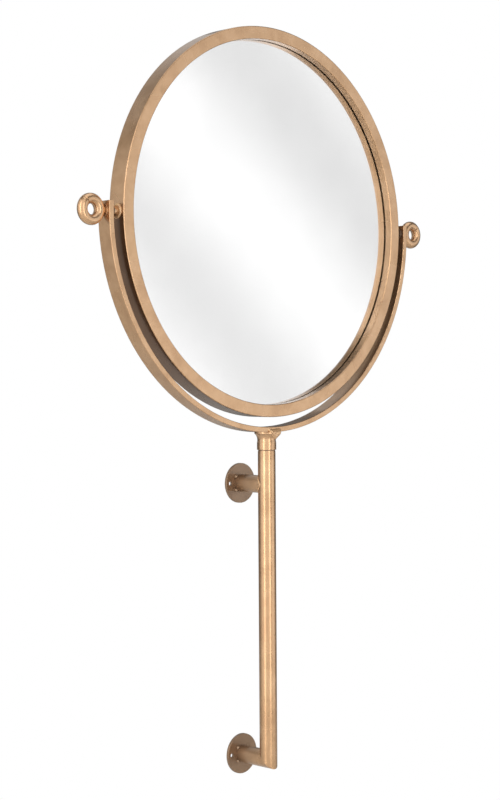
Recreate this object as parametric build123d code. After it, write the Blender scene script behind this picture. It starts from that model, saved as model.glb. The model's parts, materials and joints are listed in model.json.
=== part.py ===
from build123d import *
import os
from math import cos, radians, sin

# Wall mirror on a post: a round framed mirror tilts in a half-hoop yoke, the yoke
# swivels on a stem, and the stem lifts out of a post held off the wall by two arms.
# Origin: centre of the lower wall plate's back face. +Z is up, +Y points into the
# wall, the mirror faces -Y. All sizes are in millimetres.

# ---------------------------------------------------------------- overall sizes
mirror_d = 450.0            # outside diameter of the mirror frame
plate_spacing = 320.0       # lower to upper wall plate, centre to centre
post_top_rise = 38.6        # post's top above the upper wall plate's centre
post_offset = 46.2          # post axis in front of the wall

# ---------------------------------------------------------------- mirror frame
frame_face = 14.5           # width of the front face
frame_rebate = 9.6          # front face to glass
frame_rim = 2.0             # rim wall behind the front face
rim_behind_board = 6.2      # rim's back edge behind the backing board
frame_edge_r = 1.2          # rounding of the visible front edges
frame_back_edge_r = 0.6

# ---------------------------------------------------------------- glass and backing
glass_t = 3.0
silver_t = 0.2              # silver and paint on the back of the glass
pad_t = 2.0                 # foam sheet
board_t = 3.0               # hardboard back
stack_clear = 0.5           # radial gap between the rim and what lies in it
glass_edge = 0.4            # ground chamfer on the glass

# ---------------------------------------------------------------- backing clips
clip_count = 8
clip_w = 12.0
clip_reach = 15.0
clip_t = 1.0
clip_upstand = 5.0
clip_screw_d = 3.0
clip_screw_head_d = 6.0
clip_screw_head_h = 1.8
clip_screw_in_board = 2.5
clip_screw_inset = 10.0     # screw centre from the clip's outer end
clip_rim_gap = 0.1          # clip's flat end to the rim's curved wall

# ---------------------------------------------------------------- yoke
yoke_gap = 11.5             # frame to yoke
yoke_t = 6.3                # bar thickness
yoke_w = 19.4               # bar width
yoke_rise = 10.0            # arm ends above the tilt axis
yoke_edge_r = 0.8

# ---------------------------------------------------------------- tilt pivots
pivot_screw_d = 8.0         # shank of the eye screws
thread_clear = 0.03         # radial, shank in a threaded hole
running_clear = 0.05        # radial, parts that turn or slide on each other
barrel_wall = 1.75
barrel_l = 8.2
barrel_edge = 0.8
barrel_weld_w = 3.0
barrel_weld_h = 1.2
spacer_wall = 2.95
spacer_end_gap = 0.35       # spacer to the yoke's inner face, on the axis
shank_end_gap = 0.5         # shank's tip to the frame
lock_washer_wall = 2.95
lock_washer_t = 0.5
lock_washer_gap = 0.15      # each side of the washer
eye_wire_d = 11.4
eye_hole_d = 11.4
eye_slit = 0.7              # where the bent ring closes
eye_slit_deg = 50.0         # slit above the outward direction

# ---------------------------------------------------------------- collar and head screw
collar_h = 20.2
collar_step = 0.9           # collar's band proud of the post, radially
collar_flare = 3.05         # lip proud of the band, radially
collar_band_h = 8.6         # straight band below the cove
collar_lip_h = 1.2          # straight lip above the cove
collar_cove_deep = 1.6      # hollow of the cove's arc
patch_inset = 2.25          # weld patch's ends inside the collar's lip
patch_proud = 0.05          # weld patch's face in front of the lip
patch_drop = 9.0
patch_rise = 3.2
patch_offset = 3.0          # patch centre to the right of the post axis
head_screw_d = 8.0
head_screw_head_d = 15.5
head_screw_l = 40.0
head_screw_sink = 0.25
head_screw_hex = 5.0
head_screw_hex_deep = 3.0
cone_clear = 0.1

# ---------------------------------------------------------------- stem (the part that lifts)
lift_travel = 120.0
bush_wall = 0.75            # between the post's bore and the stem
stem_wall = 1.5
plug_flange_inset = 0.3     # flange inside the post's outside, radially
plug_flange_t = 1.0
plug_spigot_l = 20.0
swivel_washer_inset = 0.5
swivel_washer_t = 0.8
glide_l = 12.0
glide_spigot_l = 10.0
guide_bush_l = 30.0
bush_recess = 0.5           # bush below the post's rim
lift_stop_margin = 3.0      # left between glide and bush at full lift
face_gap = 0.05             # between flat faces that slide on each other

# ---------------------------------------------------------------- post, arms and plates
post_d = 20.6               # the arms are cut from the same tube
post_wall = 1.5
plate_d = 47.0
plate_t = 3.0
plate_edge_r = 0.5
plate_hole_d = 5.0
plate_hole_spacing = 34.0
arm_weld_w = 1.4
tack_r = 2.3
tack_count = 4
tack_out = 0.8              # tack centre outside the arm's surface
lock_screw_d = 6.0
lock_screw_stand = 1.0      # screw end outside the post
lock_screw_hex = 3.0
lock_screw_hex_deep = 1.6
lock_screw_drop = 16.0      # below the post's top

# ---------------------------------------------------------------- worked out from those
frame_r = mirror_d / 2
frame_depth = frame_rebate + glass_t + silver_t + pad_t + board_t + rim_behind_board
frame_front_y = -frame_depth / 2
rebate_y = frame_front_y + frame_rebate
sight_r = frame_r - frame_face
stack_r = frame_r - frame_rim - stack_clear
silver_y = rebate_y + glass_t
pad_y = silver_y + silver_t
board_y = pad_y + pad_t
clip_y = board_y + board_t

yoke_in_r = frame_r + yoke_gap
yoke_out_r = yoke_in_r + yoke_t

pivot_screw_r = pivot_screw_d / 2
barrel_r = pivot_screw_r + barrel_wall
barrel_end_x = frame_r + barrel_l
spacer_end_x = yoke_in_r - spacer_end_gap
lock_washer_x = yoke_out_r + lock_washer_gap
eye_wire_r = eye_wire_d / 2
eye_mid_r = (eye_hole_d + eye_wire_d) / 2
eye_near_x = lock_washer_x + lock_washer_t + lock_washer_gap
eye_x = eye_near_x + eye_mid_r + eye_wire_r

post_r = post_d / 2
bore_r = post_r - post_wall
arm_r = post_r
collar_r = post_r + collar_step
lip_r = collar_r + collar_flare
stem_r = bore_r - bush_wall - running_clear
stem_l = bush_recess + guide_bush_l + lift_travel + lift_stop_margin
post_y = -post_offset
plate_front_y = -plate_t

post_top_z = plate_spacing + post_top_rise
flange_z = post_top_z + face_gap
stem_end_z = flange_z - stem_l
washer_z = flange_z + plug_flange_t
collar_z = washer_z + swivel_washer_t + face_gap
yoke_under_z = collar_z + collar_h
yoke_inside_z = yoke_under_z + yoke_t
pivot_height = yoke_under_z + yoke_out_r
head_screw_z = yoke_inside_z - head_screw_sink
lock_screw_z = post_top_z - lock_screw_drop

pivot_place = Pos(0, post_y, pivot_height)
post_place = Pos(0, post_y, 0)
LEFT, RIGHT = -1, 1


# ---------------------------------------------------------------- helpers
def rod(axis, r, low, high):
    """A cylinder along X, Y or Z between two places on that axis."""
    turn = {"X": Rot(0, 90, 0), "Y": Rot(-90, 0, 0), "Z": Rot(0, 0, 0)}[axis]
    bar = Cylinder(r, high - low, align=(Align.CENTER, Align.CENTER, Align.MIN))
    return turn * (Pos(0, 0, low) * bar)


def tube(axis, r, wall, low, high):
    return rod(axis, r, low, high) - rod(axis, r - wall, low, high)


def disc(r, y, t):
    """A disc facing the front, about the Y axis."""
    return rod("Y", r, y, y + t)


def hex_socket(across, deep, top_z):
    """A hexagonal pocket cut down from top_z."""
    return Pos(0, 0, top_z - deep) * extrude(RegularPolygon(across / 2, 6, major_radius=False), deep)


def around(count, first_deg):
    """Even angles around a circle."""
    return [first_deg + i * 360.0 / count for i in range(count)]


def mirrored(side, shape):
    """Shapes are drawn on the right; the left one is its mirror image."""
    return shape if side == RIGHT else mirror(shape, Plane.YZ)


# ---------------------------------------------------------------- wall plates, arms, post
def wall_plate(z):
    plate = rod("Y", plate_d / 2, plate_front_y, 0)
    plate = fillet(plate.edges().group_by(Axis.Y)[0], plate_edge_r)
    for x in (-plate_hole_spacing / 2, plate_hole_spacing / 2):
        plate -= Pos(x, 0, 0) * rod("Y", plate_hole_d / 2, plate_front_y, 0)
    return Pos(0, 0, z) * plate


def mitre_block(above):
    """Everything on one side of the 45 degree plane through the bottom elbow."""
    size = 4 * (post_offset + plate_spacing)
    turn = 45 if above else -135
    align = (Align.CENTER, Align.CENTER, Align.MIN)
    return Pos(0, post_y, 0) * Rot(turn, 0, 0) * Box(size, size, size, align=align)


def post_tube():
    post = post_place * tube("Z", post_r, post_wall, -2 * arm_r, post_top_z)
    post &= mitre_block(above=True)
    hole_r = lock_screw_d / 2 + thread_clear
    return post - Pos(0, post_y, lock_screw_z) * rod("Y", hole_r, 0, post_d)


def lower_arm():
    arm = tube("Y", arm_r, post_wall, post_y - 2 * post_r, plate_front_y)
    return arm & mitre_block(above=False)


def upper_arm():
    arm = Pos(0, 0, plate_spacing) * tube("Y", arm_r, post_wall, post_y, plate_front_y)
    return arm - post_place * rod("Z", post_r, 0, 2 * plate_spacing)


def upper_arm_weld():
    """The bead in the corner between the coped arm and the post."""
    near_arm = Pos(0, 0, plate_spacing) * rod("Y", arm_r + arm_weld_w, post_y, plate_front_y)
    near_post = post_place * rod("Z", post_r + arm_weld_w, 0, 2 * plate_spacing)
    bead = near_arm & near_post
    bead -= post_place * rod("Z", post_r, 0, 2 * plate_spacing)
    return bead - Pos(0, 0, plate_spacing) * rod("Y", arm_r, post_y, plate_front_y)


def plate_tacks(z):
    """Tack welds that hold an arm to its plate."""
    tacks = []
    for deg in around(tack_count, 45):
        r = arm_r + tack_out
        tack = Pos(r * cos(radians(deg)), plate_front_y, r * sin(radians(deg))) * Sphere(tack_r)
        tack &= rod("Y", plate_d / 2, -post_offset, plate_front_y)
        tacks.append(Pos(0, 0, z) * (tack - rod("Y", arm_r, -post_offset, 0)))
    return Compound(tacks)


def height_lock_screw():
    """Grub screw in the back of the post that bears on the stem."""
    length = post_r + lock_screw_stand - stem_r - face_gap
    screw = rod("Z", lock_screw_d / 2, 0, length) - hex_socket(lock_screw_hex, lock_screw_hex_deep, length)
    screw = Rot(-90, 0, 0) * screw
    return Pos(0, post_y + stem_r + face_gap, lock_screw_z) * screw


def guide_bush():
    top = post_top_z - bush_recess
    bush = post_place * tube("Z", bore_r, bush_wall, top - guide_bush_l, top)
    return bush - Pos(0, post_y, lock_screw_z) * rod("Y", lock_screw_d / 2 + running_clear, 0, post_d)


# ---------------------------------------------------------------- stem
def stem_tube():
    return post_place * tube("Z", stem_r, stem_wall, stem_end_z, flange_z)


def stem_plug():
    plug = rod("Z", post_r - plug_flange_inset, flange_z, washer_z)
    plug += rod("Z", stem_r - stem_wall, flange_z - plug_spigot_l, flange_z)
    hole_r = head_screw_d / 2 + thread_clear
    return post_place * (plug - rod("Z", hole_r, flange_z - plug_spigot_l, washer_z))


def stem_glide():
    glide = rod("Z", bore_r - running_clear, stem_end_z - glide_l, stem_end_z)
    return post_place * (glide + rod("Z", stem_r - stem_wall, stem_end_z, stem_end_z + glide_spigot_l))


def swivel_washer():
    r = post_r - swivel_washer_inset
    wall = r - head_screw_d / 2 - running_clear
    return post_place * tube("Z", r, wall, washer_z, washer_z + swivel_washer_t)


def countersunk(r, head_r, top_z, bottom_z):
    """A countersunk screw's outline, turned about Z."""
    cone_z = top_z - (head_r - r)
    outline = Polyline((0, bottom_z), (r, bottom_z), (r, cone_z), (head_r, top_z), (0, top_z), close=True)
    return revolve(Plane.XZ * make_face(outline), Axis.Z)


def head_screw():
    screw = countersunk(head_screw_d / 2, head_screw_head_d / 2, head_screw_z, head_screw_z - head_screw_l)
    return post_place * (screw - hex_socket(head_screw_hex, head_screw_hex_deep, head_screw_z))


# ---------------------------------------------------------------- head
def yoke_bar():
    """Half a hoop of flat bar with short straight ends, drawn about the tilt axis."""
    hoop = Circle(yoke_out_r) - Circle(yoke_in_r)
    hoop -= Pos(0, yoke_out_r) * Rectangle(3 * yoke_out_r, 2 * yoke_out_r)
    for side in (LEFT, RIGHT):
        hoop += Pos(side * (yoke_in_r + yoke_t / 2), yoke_rise / 2) * Rectangle(yoke_t, yoke_rise)
    bar = extrude(Plane.XZ * hoop, yoke_w / 2, both=True)
    bar = fillet(bar.edges().filter_by(GeomType.CIRCLE), yoke_edge_r)
    bar -= rod("X", pivot_screw_r + running_clear, -2 * frame_r, 2 * frame_r)
    bar = pivot_place * bar
    top_z = yoke_inside_z + yoke_t          # the cone goes on upward, clear of the bar
    grow = top_z - head_screw_z
    sink = countersunk(head_screw_d / 2 + running_clear, head_screw_head_d / 2 + cone_clear + grow,
                       top_z, yoke_under_z - yoke_t)
    return bar - post_place * sink


def collar_outline():
    """Straight band, concave cove and a straight lip, turned about the post axis."""
    lip_z = collar_h - collar_lip_h
    cove = SagittaArc((collar_r, collar_band_h), (lip_r, lip_z), collar_cove_deep)
    top = Polyline((lip_r, lip_z), (lip_r, collar_h + yoke_t), (0, collar_h + yoke_t), (0, 0), (collar_r, 0),
                   (collar_r, collar_band_h))
    return revolve(Plane.XZ * make_face([cove, top]), Axis.Z)


def yoke_solid():
    """The hoop's full outer cylinder, for parts that fit under it."""
    return pivot_place * rod("Y", yoke_out_r, -yoke_out_r, yoke_out_r)


def collar():
    body = Pos(0, post_y, collar_z) * collar_outline() - yoke_solid()
    bore_bottom = collar_z - collar_h
    return body - post_place * rod("Z", head_screw_d / 2 + running_clear, bore_bottom, pivot_height)


def collar_weld():
    """Weld patches that join the collar's lip to the front and back of the yoke."""
    low, high = -patch_drop, patch_rise
    half = lip_r - patch_inset
    thick = lip_r + patch_proud - yoke_w / 2
    outline = Polyline((-half, high), (-half, high - 2), (-2, low), (2, low), (half, high - 2), (half, high),
                       close=True)
    patches = []
    for side in (-1, 1):
        y = post_y + side * (yoke_w / 2 + thick / 2)
        patch = extrude(Plane.XZ * make_face(outline), thick / 2, both=True)
        patch = Pos(-side * patch_offset, y, yoke_under_z) * patch
        patches.append(patch - Pos(0, post_y, collar_z) * collar_outline())
    return Compound([solid for patch in patches for solid in patch.solids()])


# ---------------------------------------------------------------- mirror
def mirror_frame():
    """Rolled ring of rebated section: a square front with a thin rim behind it."""
    rim_r = frame_r - frame_rim
    back_y = frame_front_y + frame_depth
    outline = Polyline((sight_r, frame_front_y), (frame_r, frame_front_y), (frame_r, back_y), (rim_r, back_y),
                       (rim_r, rebate_y), (sight_r, rebate_y), close=True)
    section = make_face(outline)
    section = fillet(section.vertices().group_by(Axis.Y)[0], frame_edge_r)
    section = fillet(section.vertices().group_by(Axis.Y)[-1], frame_back_edge_r)
    return pivot_place * revolve(section, Axis.Y)


def frame_solid():
    """The frame's full outer cylinder, for parts welded to its side."""
    return rod("Y", frame_r, -frame_r, frame_r)


def pivot_barrel(side):
    barrel = rod("X", barrel_r, frame_r - 2 * barrel_r, barrel_end_x)
    barrel = chamfer(barrel.edges().group_by(Axis.X)[-1], barrel_edge)
    barrel -= frame_solid()
    barrel -= rod("X", pivot_screw_r + thread_clear, 0, 2 * frame_r)
    return pivot_place * mirrored(side, barrel)


def barrel_weld(side):
    bead = rod("X", barrel_r + barrel_weld_w, 0, 2 * frame_r)
    bead &= rod("Y", frame_r + barrel_weld_h, -frame_r, frame_r)
    bead -= frame_solid()
    return pivot_place * mirrored(side, bead - rod("X", barrel_r, 0, 2 * frame_r))


def pivot_spacer(side):
    r = pivot_screw_r + running_clear + spacer_wall
    return pivot_place * mirrored(side, tube("X", r, spacer_wall, barrel_end_x, spacer_end_x))


def lock_washer(side):
    r = pivot_screw_r + running_clear + lock_washer_wall
    low, high = lock_washer_x, lock_washer_x + lock_washer_t
    return pivot_place * mirrored(side, tube("X", r, lock_washer_wall, low, high))


def eye_screw(side):
    """A rod bent into a ring, with a threaded shank."""
    ring = Rot(90, 0, 0) * Torus(eye_mid_r, eye_wire_r)
    cut = Pos(eye_mid_r, 0, 0) * Box(2 * eye_wire_r, 2 * eye_wire_r, eye_slit)
    ring -= Rot(0, -eye_slit_deg, 0) * cut
    shank = rod("X", pivot_screw_r, frame_r + shank_end_gap - eye_x, -eye_mid_r)
    return pivot_place * mirrored(side, Pos(eye_x, 0, 0) * (ring + shank))


def glass():
    pane = disc(stack_r, rebate_y, glass_t)
    return pivot_place * chamfer(pane.edges().filter_by(GeomType.CIRCLE), glass_edge)


def silvering():
    return pivot_place * disc(stack_r - glass_edge, silver_y, silver_t)


def foam_pad():
    return pivot_place * disc(stack_r, pad_y, pad_t)


def clip_angles():
    return around(clip_count, 180.0 / clip_count)


def at_clip(deg, y):
    """A place on the clip circle, at a screw, turned so that local +X points outward."""
    r = frame_r - frame_rim - clip_rim_gap - clip_screw_inset
    return pivot_place * Rot(0, -deg, 0) * Pos(r, y, 0)


def backing_board():
    board = pivot_place * disc(stack_r, board_y, board_t)
    for deg in clip_angles():
        hole = rod("Y", clip_screw_d / 2, -clip_screw_in_board, 0)
        board -= at_clip(deg, clip_y) * hole
    return board


def retaining_clips():
    """Small steel angles, spot-welded inside the rim, that hold the back in."""
    clips = []
    outer = clip_screw_inset
    on_board = (Align.MIN, Align.MIN, Align.CENTER)
    for deg in clip_angles():
        foot = Pos(outer - clip_reach, 0, 0) * Box(clip_reach, clip_t, clip_w, align=on_board)
        stand = Pos(outer - clip_t, 0, 0) * Box(clip_t, clip_upstand, clip_w, align=on_board)
        clip = foot + stand - rod("Y", clip_screw_d / 2, 0, clip_t)
        clips.append(at_clip(deg, clip_y) * clip)
    return Compound([solid for clip in clips for solid in clip.solids()])


def clip_screws():
    screws = []
    for deg in clip_angles():
        screw = rod("Y", clip_screw_d / 2, -clip_screw_in_board, clip_t)
        screw += rod("Y", clip_screw_head_d / 2, clip_t, clip_t + clip_screw_head_h)
        screws.append(at_clip(deg, clip_y) * screw)
    return Compound([solid for screw in screws for solid in screw.solids()])


# ---------------------------------------------------------------- all the nodes
def all_nodes():
    nodes = {
        "lower_wall_plate": wall_plate(0),
        "upper_wall_plate": wall_plate(plate_spacing),
        "lower_arm": lower_arm(),
        "upper_arm": upper_arm(),
        "post_tube": post_tube(),
        "lower_plate_tacks": plate_tacks(0),
        "upper_plate_tacks": plate_tacks(plate_spacing),
        "upper_arm_weld": upper_arm_weld(),
        "post_guide_bush": guide_bush(),
        "height_lock_screw": height_lock_screw(),
        "stem_tube": stem_tube(),
        "stem_plug": stem_plug(),
        "stem_glide": stem_glide(),
        "swivel_washer": swivel_washer(),
        "head_screw": head_screw(),
        "yoke_bar": yoke_bar(),
        "collar": collar(),
        "collar_weld": collar_weld(),
        "mirror_frame": mirror_frame(),
        "glass": glass(),
        "silvering": silvering(),
        "foam_pad": foam_pad(),
        "backing_board": backing_board(),
        "retaining_clips": retaining_clips(),
        "clip_screws": clip_screws(),
    }
    for name, side in (("left", LEFT), ("right", RIGHT)):
        nodes[name + "_pivot_barrel"] = pivot_barrel(side)
        nodes[name + "_barrel_weld"] = barrel_weld(side)
        nodes[name + "_pivot_spacer"] = pivot_spacer(side)
        nodes[name + "_lock_washer"] = lock_washer(side)
        nodes[name + "_eye_screw"] = eye_screw(side)
    return nodes


os.makedirs("parts", exist_ok=True)
for node, shape in all_nodes().items():
    export_step(shape, "parts/" + node + ".step")
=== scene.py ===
import json
import math

import bmesh
import bpy
from bpy.props import FloatProperty, FloatVectorProperty, IntProperty, PointerProperty
from mathutils import Matrix, Vector, noise


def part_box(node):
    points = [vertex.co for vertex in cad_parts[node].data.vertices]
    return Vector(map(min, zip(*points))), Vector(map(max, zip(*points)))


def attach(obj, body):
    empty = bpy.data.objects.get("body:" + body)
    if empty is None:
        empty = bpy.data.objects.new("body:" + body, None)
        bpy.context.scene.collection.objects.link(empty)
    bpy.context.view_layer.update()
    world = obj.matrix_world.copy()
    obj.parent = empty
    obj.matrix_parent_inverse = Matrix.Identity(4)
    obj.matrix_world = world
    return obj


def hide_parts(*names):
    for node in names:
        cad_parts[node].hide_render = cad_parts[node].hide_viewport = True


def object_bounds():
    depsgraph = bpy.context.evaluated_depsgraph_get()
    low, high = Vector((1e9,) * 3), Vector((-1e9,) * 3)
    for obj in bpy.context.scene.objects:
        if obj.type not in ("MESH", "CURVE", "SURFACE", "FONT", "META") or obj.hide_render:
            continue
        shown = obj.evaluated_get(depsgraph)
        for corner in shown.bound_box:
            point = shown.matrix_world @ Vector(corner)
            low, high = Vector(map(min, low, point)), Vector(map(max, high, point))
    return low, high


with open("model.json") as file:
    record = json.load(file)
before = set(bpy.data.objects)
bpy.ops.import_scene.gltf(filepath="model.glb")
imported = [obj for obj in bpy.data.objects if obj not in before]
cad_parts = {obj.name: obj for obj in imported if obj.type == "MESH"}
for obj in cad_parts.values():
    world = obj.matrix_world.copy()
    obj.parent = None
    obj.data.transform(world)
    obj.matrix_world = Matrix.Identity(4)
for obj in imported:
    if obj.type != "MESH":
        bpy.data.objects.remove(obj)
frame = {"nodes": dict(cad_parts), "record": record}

bl_info = {
    "name": "Wall mirror on a lifting post",
    "version": (1, 0, 0),
    "blender": (4, 5, 0),
    "location": "View3D > Sidebar > Mirror",
    "description": "Builds the finished pieces, materials and studio around the packed wall mirror",
    "category": "Object",
}

CAD_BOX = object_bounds()
MM = 0.001


# ---------------------------------------------------------------- measured from the frame
def middle(node):
    """Centre of a CAD node's box."""
    low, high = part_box(node)
    return (low + high) / 2


def extent(node):
    """Size of a CAD node's box."""
    low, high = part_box(node)
    return high - low


PIVOT = middle("mirror_frame")
FRAME_R = extent("mirror_frame").x / 2
POST_R = extent("post_tube").x / 2
ARM_R = extent("upper_arm").x / 2
POST_Y = middle("swivel_washer").y
UPPER_Z = middle("upper_wall_plate").z
LOWER_Z = middle("lower_wall_plate").z
PLATE_FRONT_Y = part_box("lower_wall_plate")[0].y

# Details of the pieces that the frame's boxes don't give.
POST_WALL = 1.5 * MM
FRAME_FACE, FRAME_RIM = 14.5 * MM, 2.0 * MM
EYE_WIRE_R, EYE_SHANK_R, EYE_SHOULDER_R = 5.7 * MM, 4.0 * MM, 5.2 * MM
SCREW_HEAD_R = 3.0 * MM
# Metres: closer than this, two places count as one.
TOUCH = 1e-6

MATERIALS = {}
BODY_OF = {node: body for body, nodes in frame["record"]["behaviour"]["bodies"].items() for node in nodes}


# ---------------------------------------------------------------- colours
def linear(hex_colour, alpha=None):
    """An sRGB hex colour as linear values."""
    parts = [int(hex_colour[i:i + 2], 16) / 255 for i in (1, 3, 5)]
    made = [p / 12.92 if p <= 0.04045 else ((p + 0.055) / 1.055) ** 2.4 for p in parts]
    return tuple(made) if alpha is None else (*made, alpha)


def opaque(colour):
    """A linear colour with full alpha."""
    return (*colour, 1.0)


# ---------------------------------------------------------------- properties
def number(name, description, value, **more):
    """A plain number property."""
    return FloatProperty(name=name, description=description, default=value, **more)


def length_mm(name, description, value):
    """A length property, given in millimetres and kept in metres."""
    return number(name, description, value * MM, unit="LENGTH", precision=5)


def colour_of(name, description, value):
    """A colour property, given as an sRGB hex value."""
    return FloatVectorProperty(name=name, description=description, default=linear(value),
                               subtype="COLOR", size=3)


class MirrorSizes(bpy.types.PropertyGroup):
    """Sizes of the details that are built around the CAD pieces."""
    glass_back_gap: length_mm("Glass back gap", "Air left between the glass and its silver", 0.02)
    glass_bevel: length_mm("Glass edge bevel", "Ground bevel on the glass", 0.4)
    bead_pitch: length_mm("Bead pitch", "Distance between two ripples of a weld", 1.5)
    arm_bead: length_mm("Arm bead", "Half width of the bead between arm and post", 1.2)
    barrel_bead: length_mm("Barrel bead", "Half width of the bead round a pivot barrel", 1.8)
    patch_grain: length_mm("Patch grain", "Cell that the weld patches are remeshed with", 0.35)
    patch_lumps: length_mm("Patch lumps", "Depth of the unevenness on the weld patches", 0.28)
    clip_count: IntProperty(name="Backing clips", description="Clips that hold the back in", default=8,
                            min=3)
    rod_end_round: length_mm("Rod end rounding", "Rounding where the bent ring closes", 0.7)


class MirrorFinish(bpy.types.PropertyGroup):
    """Colours of the finishes."""
    lacquer_light: colour_of("Lacquer, light", "Where the gold lacquer lies thin", "#D2AC86")
    lacquer_mid: colour_of("Lacquer, middle", "The gold lacquer's main colour", "#C9A27B")
    lacquer_dark: colour_of("Lacquer, dark", "Where the gold lacquer lies thick", "#BC956F")
    weld_light: colour_of("Weld lacquer, light", "Lacquer on the tops of the weld beads", "#DDB886")
    weld_dark: colour_of("Weld lacquer, dark", "Lacquer between the weld beads", "#C39A6C")
    glass_tint: colour_of("Glass", "Tint of the float glass", "#FEFEFE")
    silver: colour_of("Silver", "Silver on the back of the glass", "#F8F8F8")
    paint: colour_of("Mirror backing paint", "Paint over the silver", "#6E6A66")
    foam: colour_of("Foam", "Closed-cell foam", "#3B3B3C")
    board_light: colour_of("Hardboard, light", "Pressed fibres that stand proud", "#8A6039")
    board_dark: colour_of("Hardboard, dark", "Ground of the hardboard", "#5A3A20")
    zinc: colour_of("Zinc", "Bright zinc plate", "#C4C7CB")
    steel: colour_of("Drawn steel", "Bare drawn tube", "#A9A8A4")
    nylon: colour_of("Nylon", "Dark moulded nylon", "#4A392C")
    oxide: colour_of("Black oxide", "Blackened screws", "#26221F")


class MirrorStage(bpy.types.PropertyGroup):
    """Camera, floor and lights."""
    distance: number("Distance", "Camera to the tilt axis", 1.9801, unit="LENGTH")
    azimuth: number("Azimuth", "Camera round the mirror; 0 looks along +Y", math.radians(-44.9),
                    subtype="ANGLE")
    elevation: number("Elevation", "Camera above the horizon", math.radians(0.54), subtype="ANGLE")
    roll: number("Roll", "Turn about the view", math.radians(-0.36), subtype="ANGLE")
    aim_side: length_mm("Aim, sideways", "Aim point to the right of the tilt axis", -8.85)
    aim_up: length_mm("Aim, up", "Aim point above the tilt axis", -193.22)
    lens: number("Lens", "Focal length in mm on a 36 mm sensor", 76.66)
    shift_x: number("Shift X", "Lens shift, sideways", -0.0108)
    shift_y: number("Shift Y", "Lens shift, up", -0.01295)
    floor_drop: length_mm("Floor drop", "Floor below the lower wall plate", 350.0)
    key_light: number("Key light", "Brightness of the strip softbox in front", 3.3)
    glint_light: number("Glint light", "Brightness of the strip softbox at the left", 2.9)
    fill_light: number("Fill light", "Brightness of the broad softboxes by the camera", 1.05)
    side_light: number("Side light", "Brightness of the low softbox at the right", 1.1)
    rim_light: number("Rim light", "Brightness of the softbox behind, at the left", 0.4)
    back_light: number("Back light", "Brightness of the softbox behind", 0.4)
    top_light: number("Top light", "Brightness of the softbox above", 1.1)
    room: number("Room", "Brightness of the room round the object", 0.13)
    panel: number("White panel", "Brightness of the panel that the mirror faces", 1.085)
    panel_band: number("Panel shading", "Depth of the panel's soft bands", 0.27)


def settings():
    """The scene's sizes, finishes and stage."""
    scene = bpy.context.scene
    return scene.mirror_sizes, scene.mirror_finish, scene.mirror_stage


# ---------------------------------------------------------------- nodes
def add(tree, kind, inputs=None, stops=(), **setting):
    """Add a node with its settings, its inputs, and a ramp's (place, colour) stops.

    An input is given a value, a socket to link, or a node, whose first output is linked.
    """
    made = tree.nodes.new(kind)
    for key, value in setting.items():
        setattr(made, key, value)
    for key, value in (inputs or {}).items():
        if isinstance(value, bpy.types.Node):
            value = value.outputs[0]
        if isinstance(value, bpy.types.NodeSocket):
            tree.links.new(value, made.inputs[key])
        else:
            made.inputs[key].default_value = value
    if stops:
        elements = made.color_ramp.elements
        while len(elements) < len(stops):
            elements.new(0.5)
        for element, (place, colour) in zip(elements, stops):
            element.position = place
            element.color = opaque(colour)
    return made


def per_metre(millimetres):
    """The scale of a texture whose features are this wide."""
    return 1.0 / (millimetres * MM)


def new_material(name):
    """An empty node material; returns it with its tree and the object's coordinates."""
    material = bpy.data.materials.new(name)
    material.use_nodes = True
    material.node_tree.nodes.clear()
    tree = material.node_tree
    return material, tree, add(tree, "ShaderNodeTexCoord").outputs["Object"]


def stretch(value, low, high, from_low=0.3, from_high=0.7):
    """What a Map Range node is given to stretch a noise value to a range."""
    return {"Value": value, "From Min": from_low, "From Max": from_high, "To Min": low, "To Max": high}


# ---------------------------------------------------------------- materials
# Marks on the lacquer: dark specks, painted shade towards the wall, and painted shade in a gap.
SPECK_COLOUR = "#6B4A2E"
# Painted shade: the brown that the lacquer darkens to towards the wall.
PAINTED_WALL_SHADE = "#7C6756"
# Painted shade in the gap behind the yoke: its mesh attribute, its colour and its strength.
GAP_SHADE_ATTRIBUTE = "wash"
GAP_SHADE_COLOUR = "#5C3E29"
GAP_SHADE_DEPTH = 0.85
GAP_START, GAP_FADE = 6.0 * MM, 14.0 * MM


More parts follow.
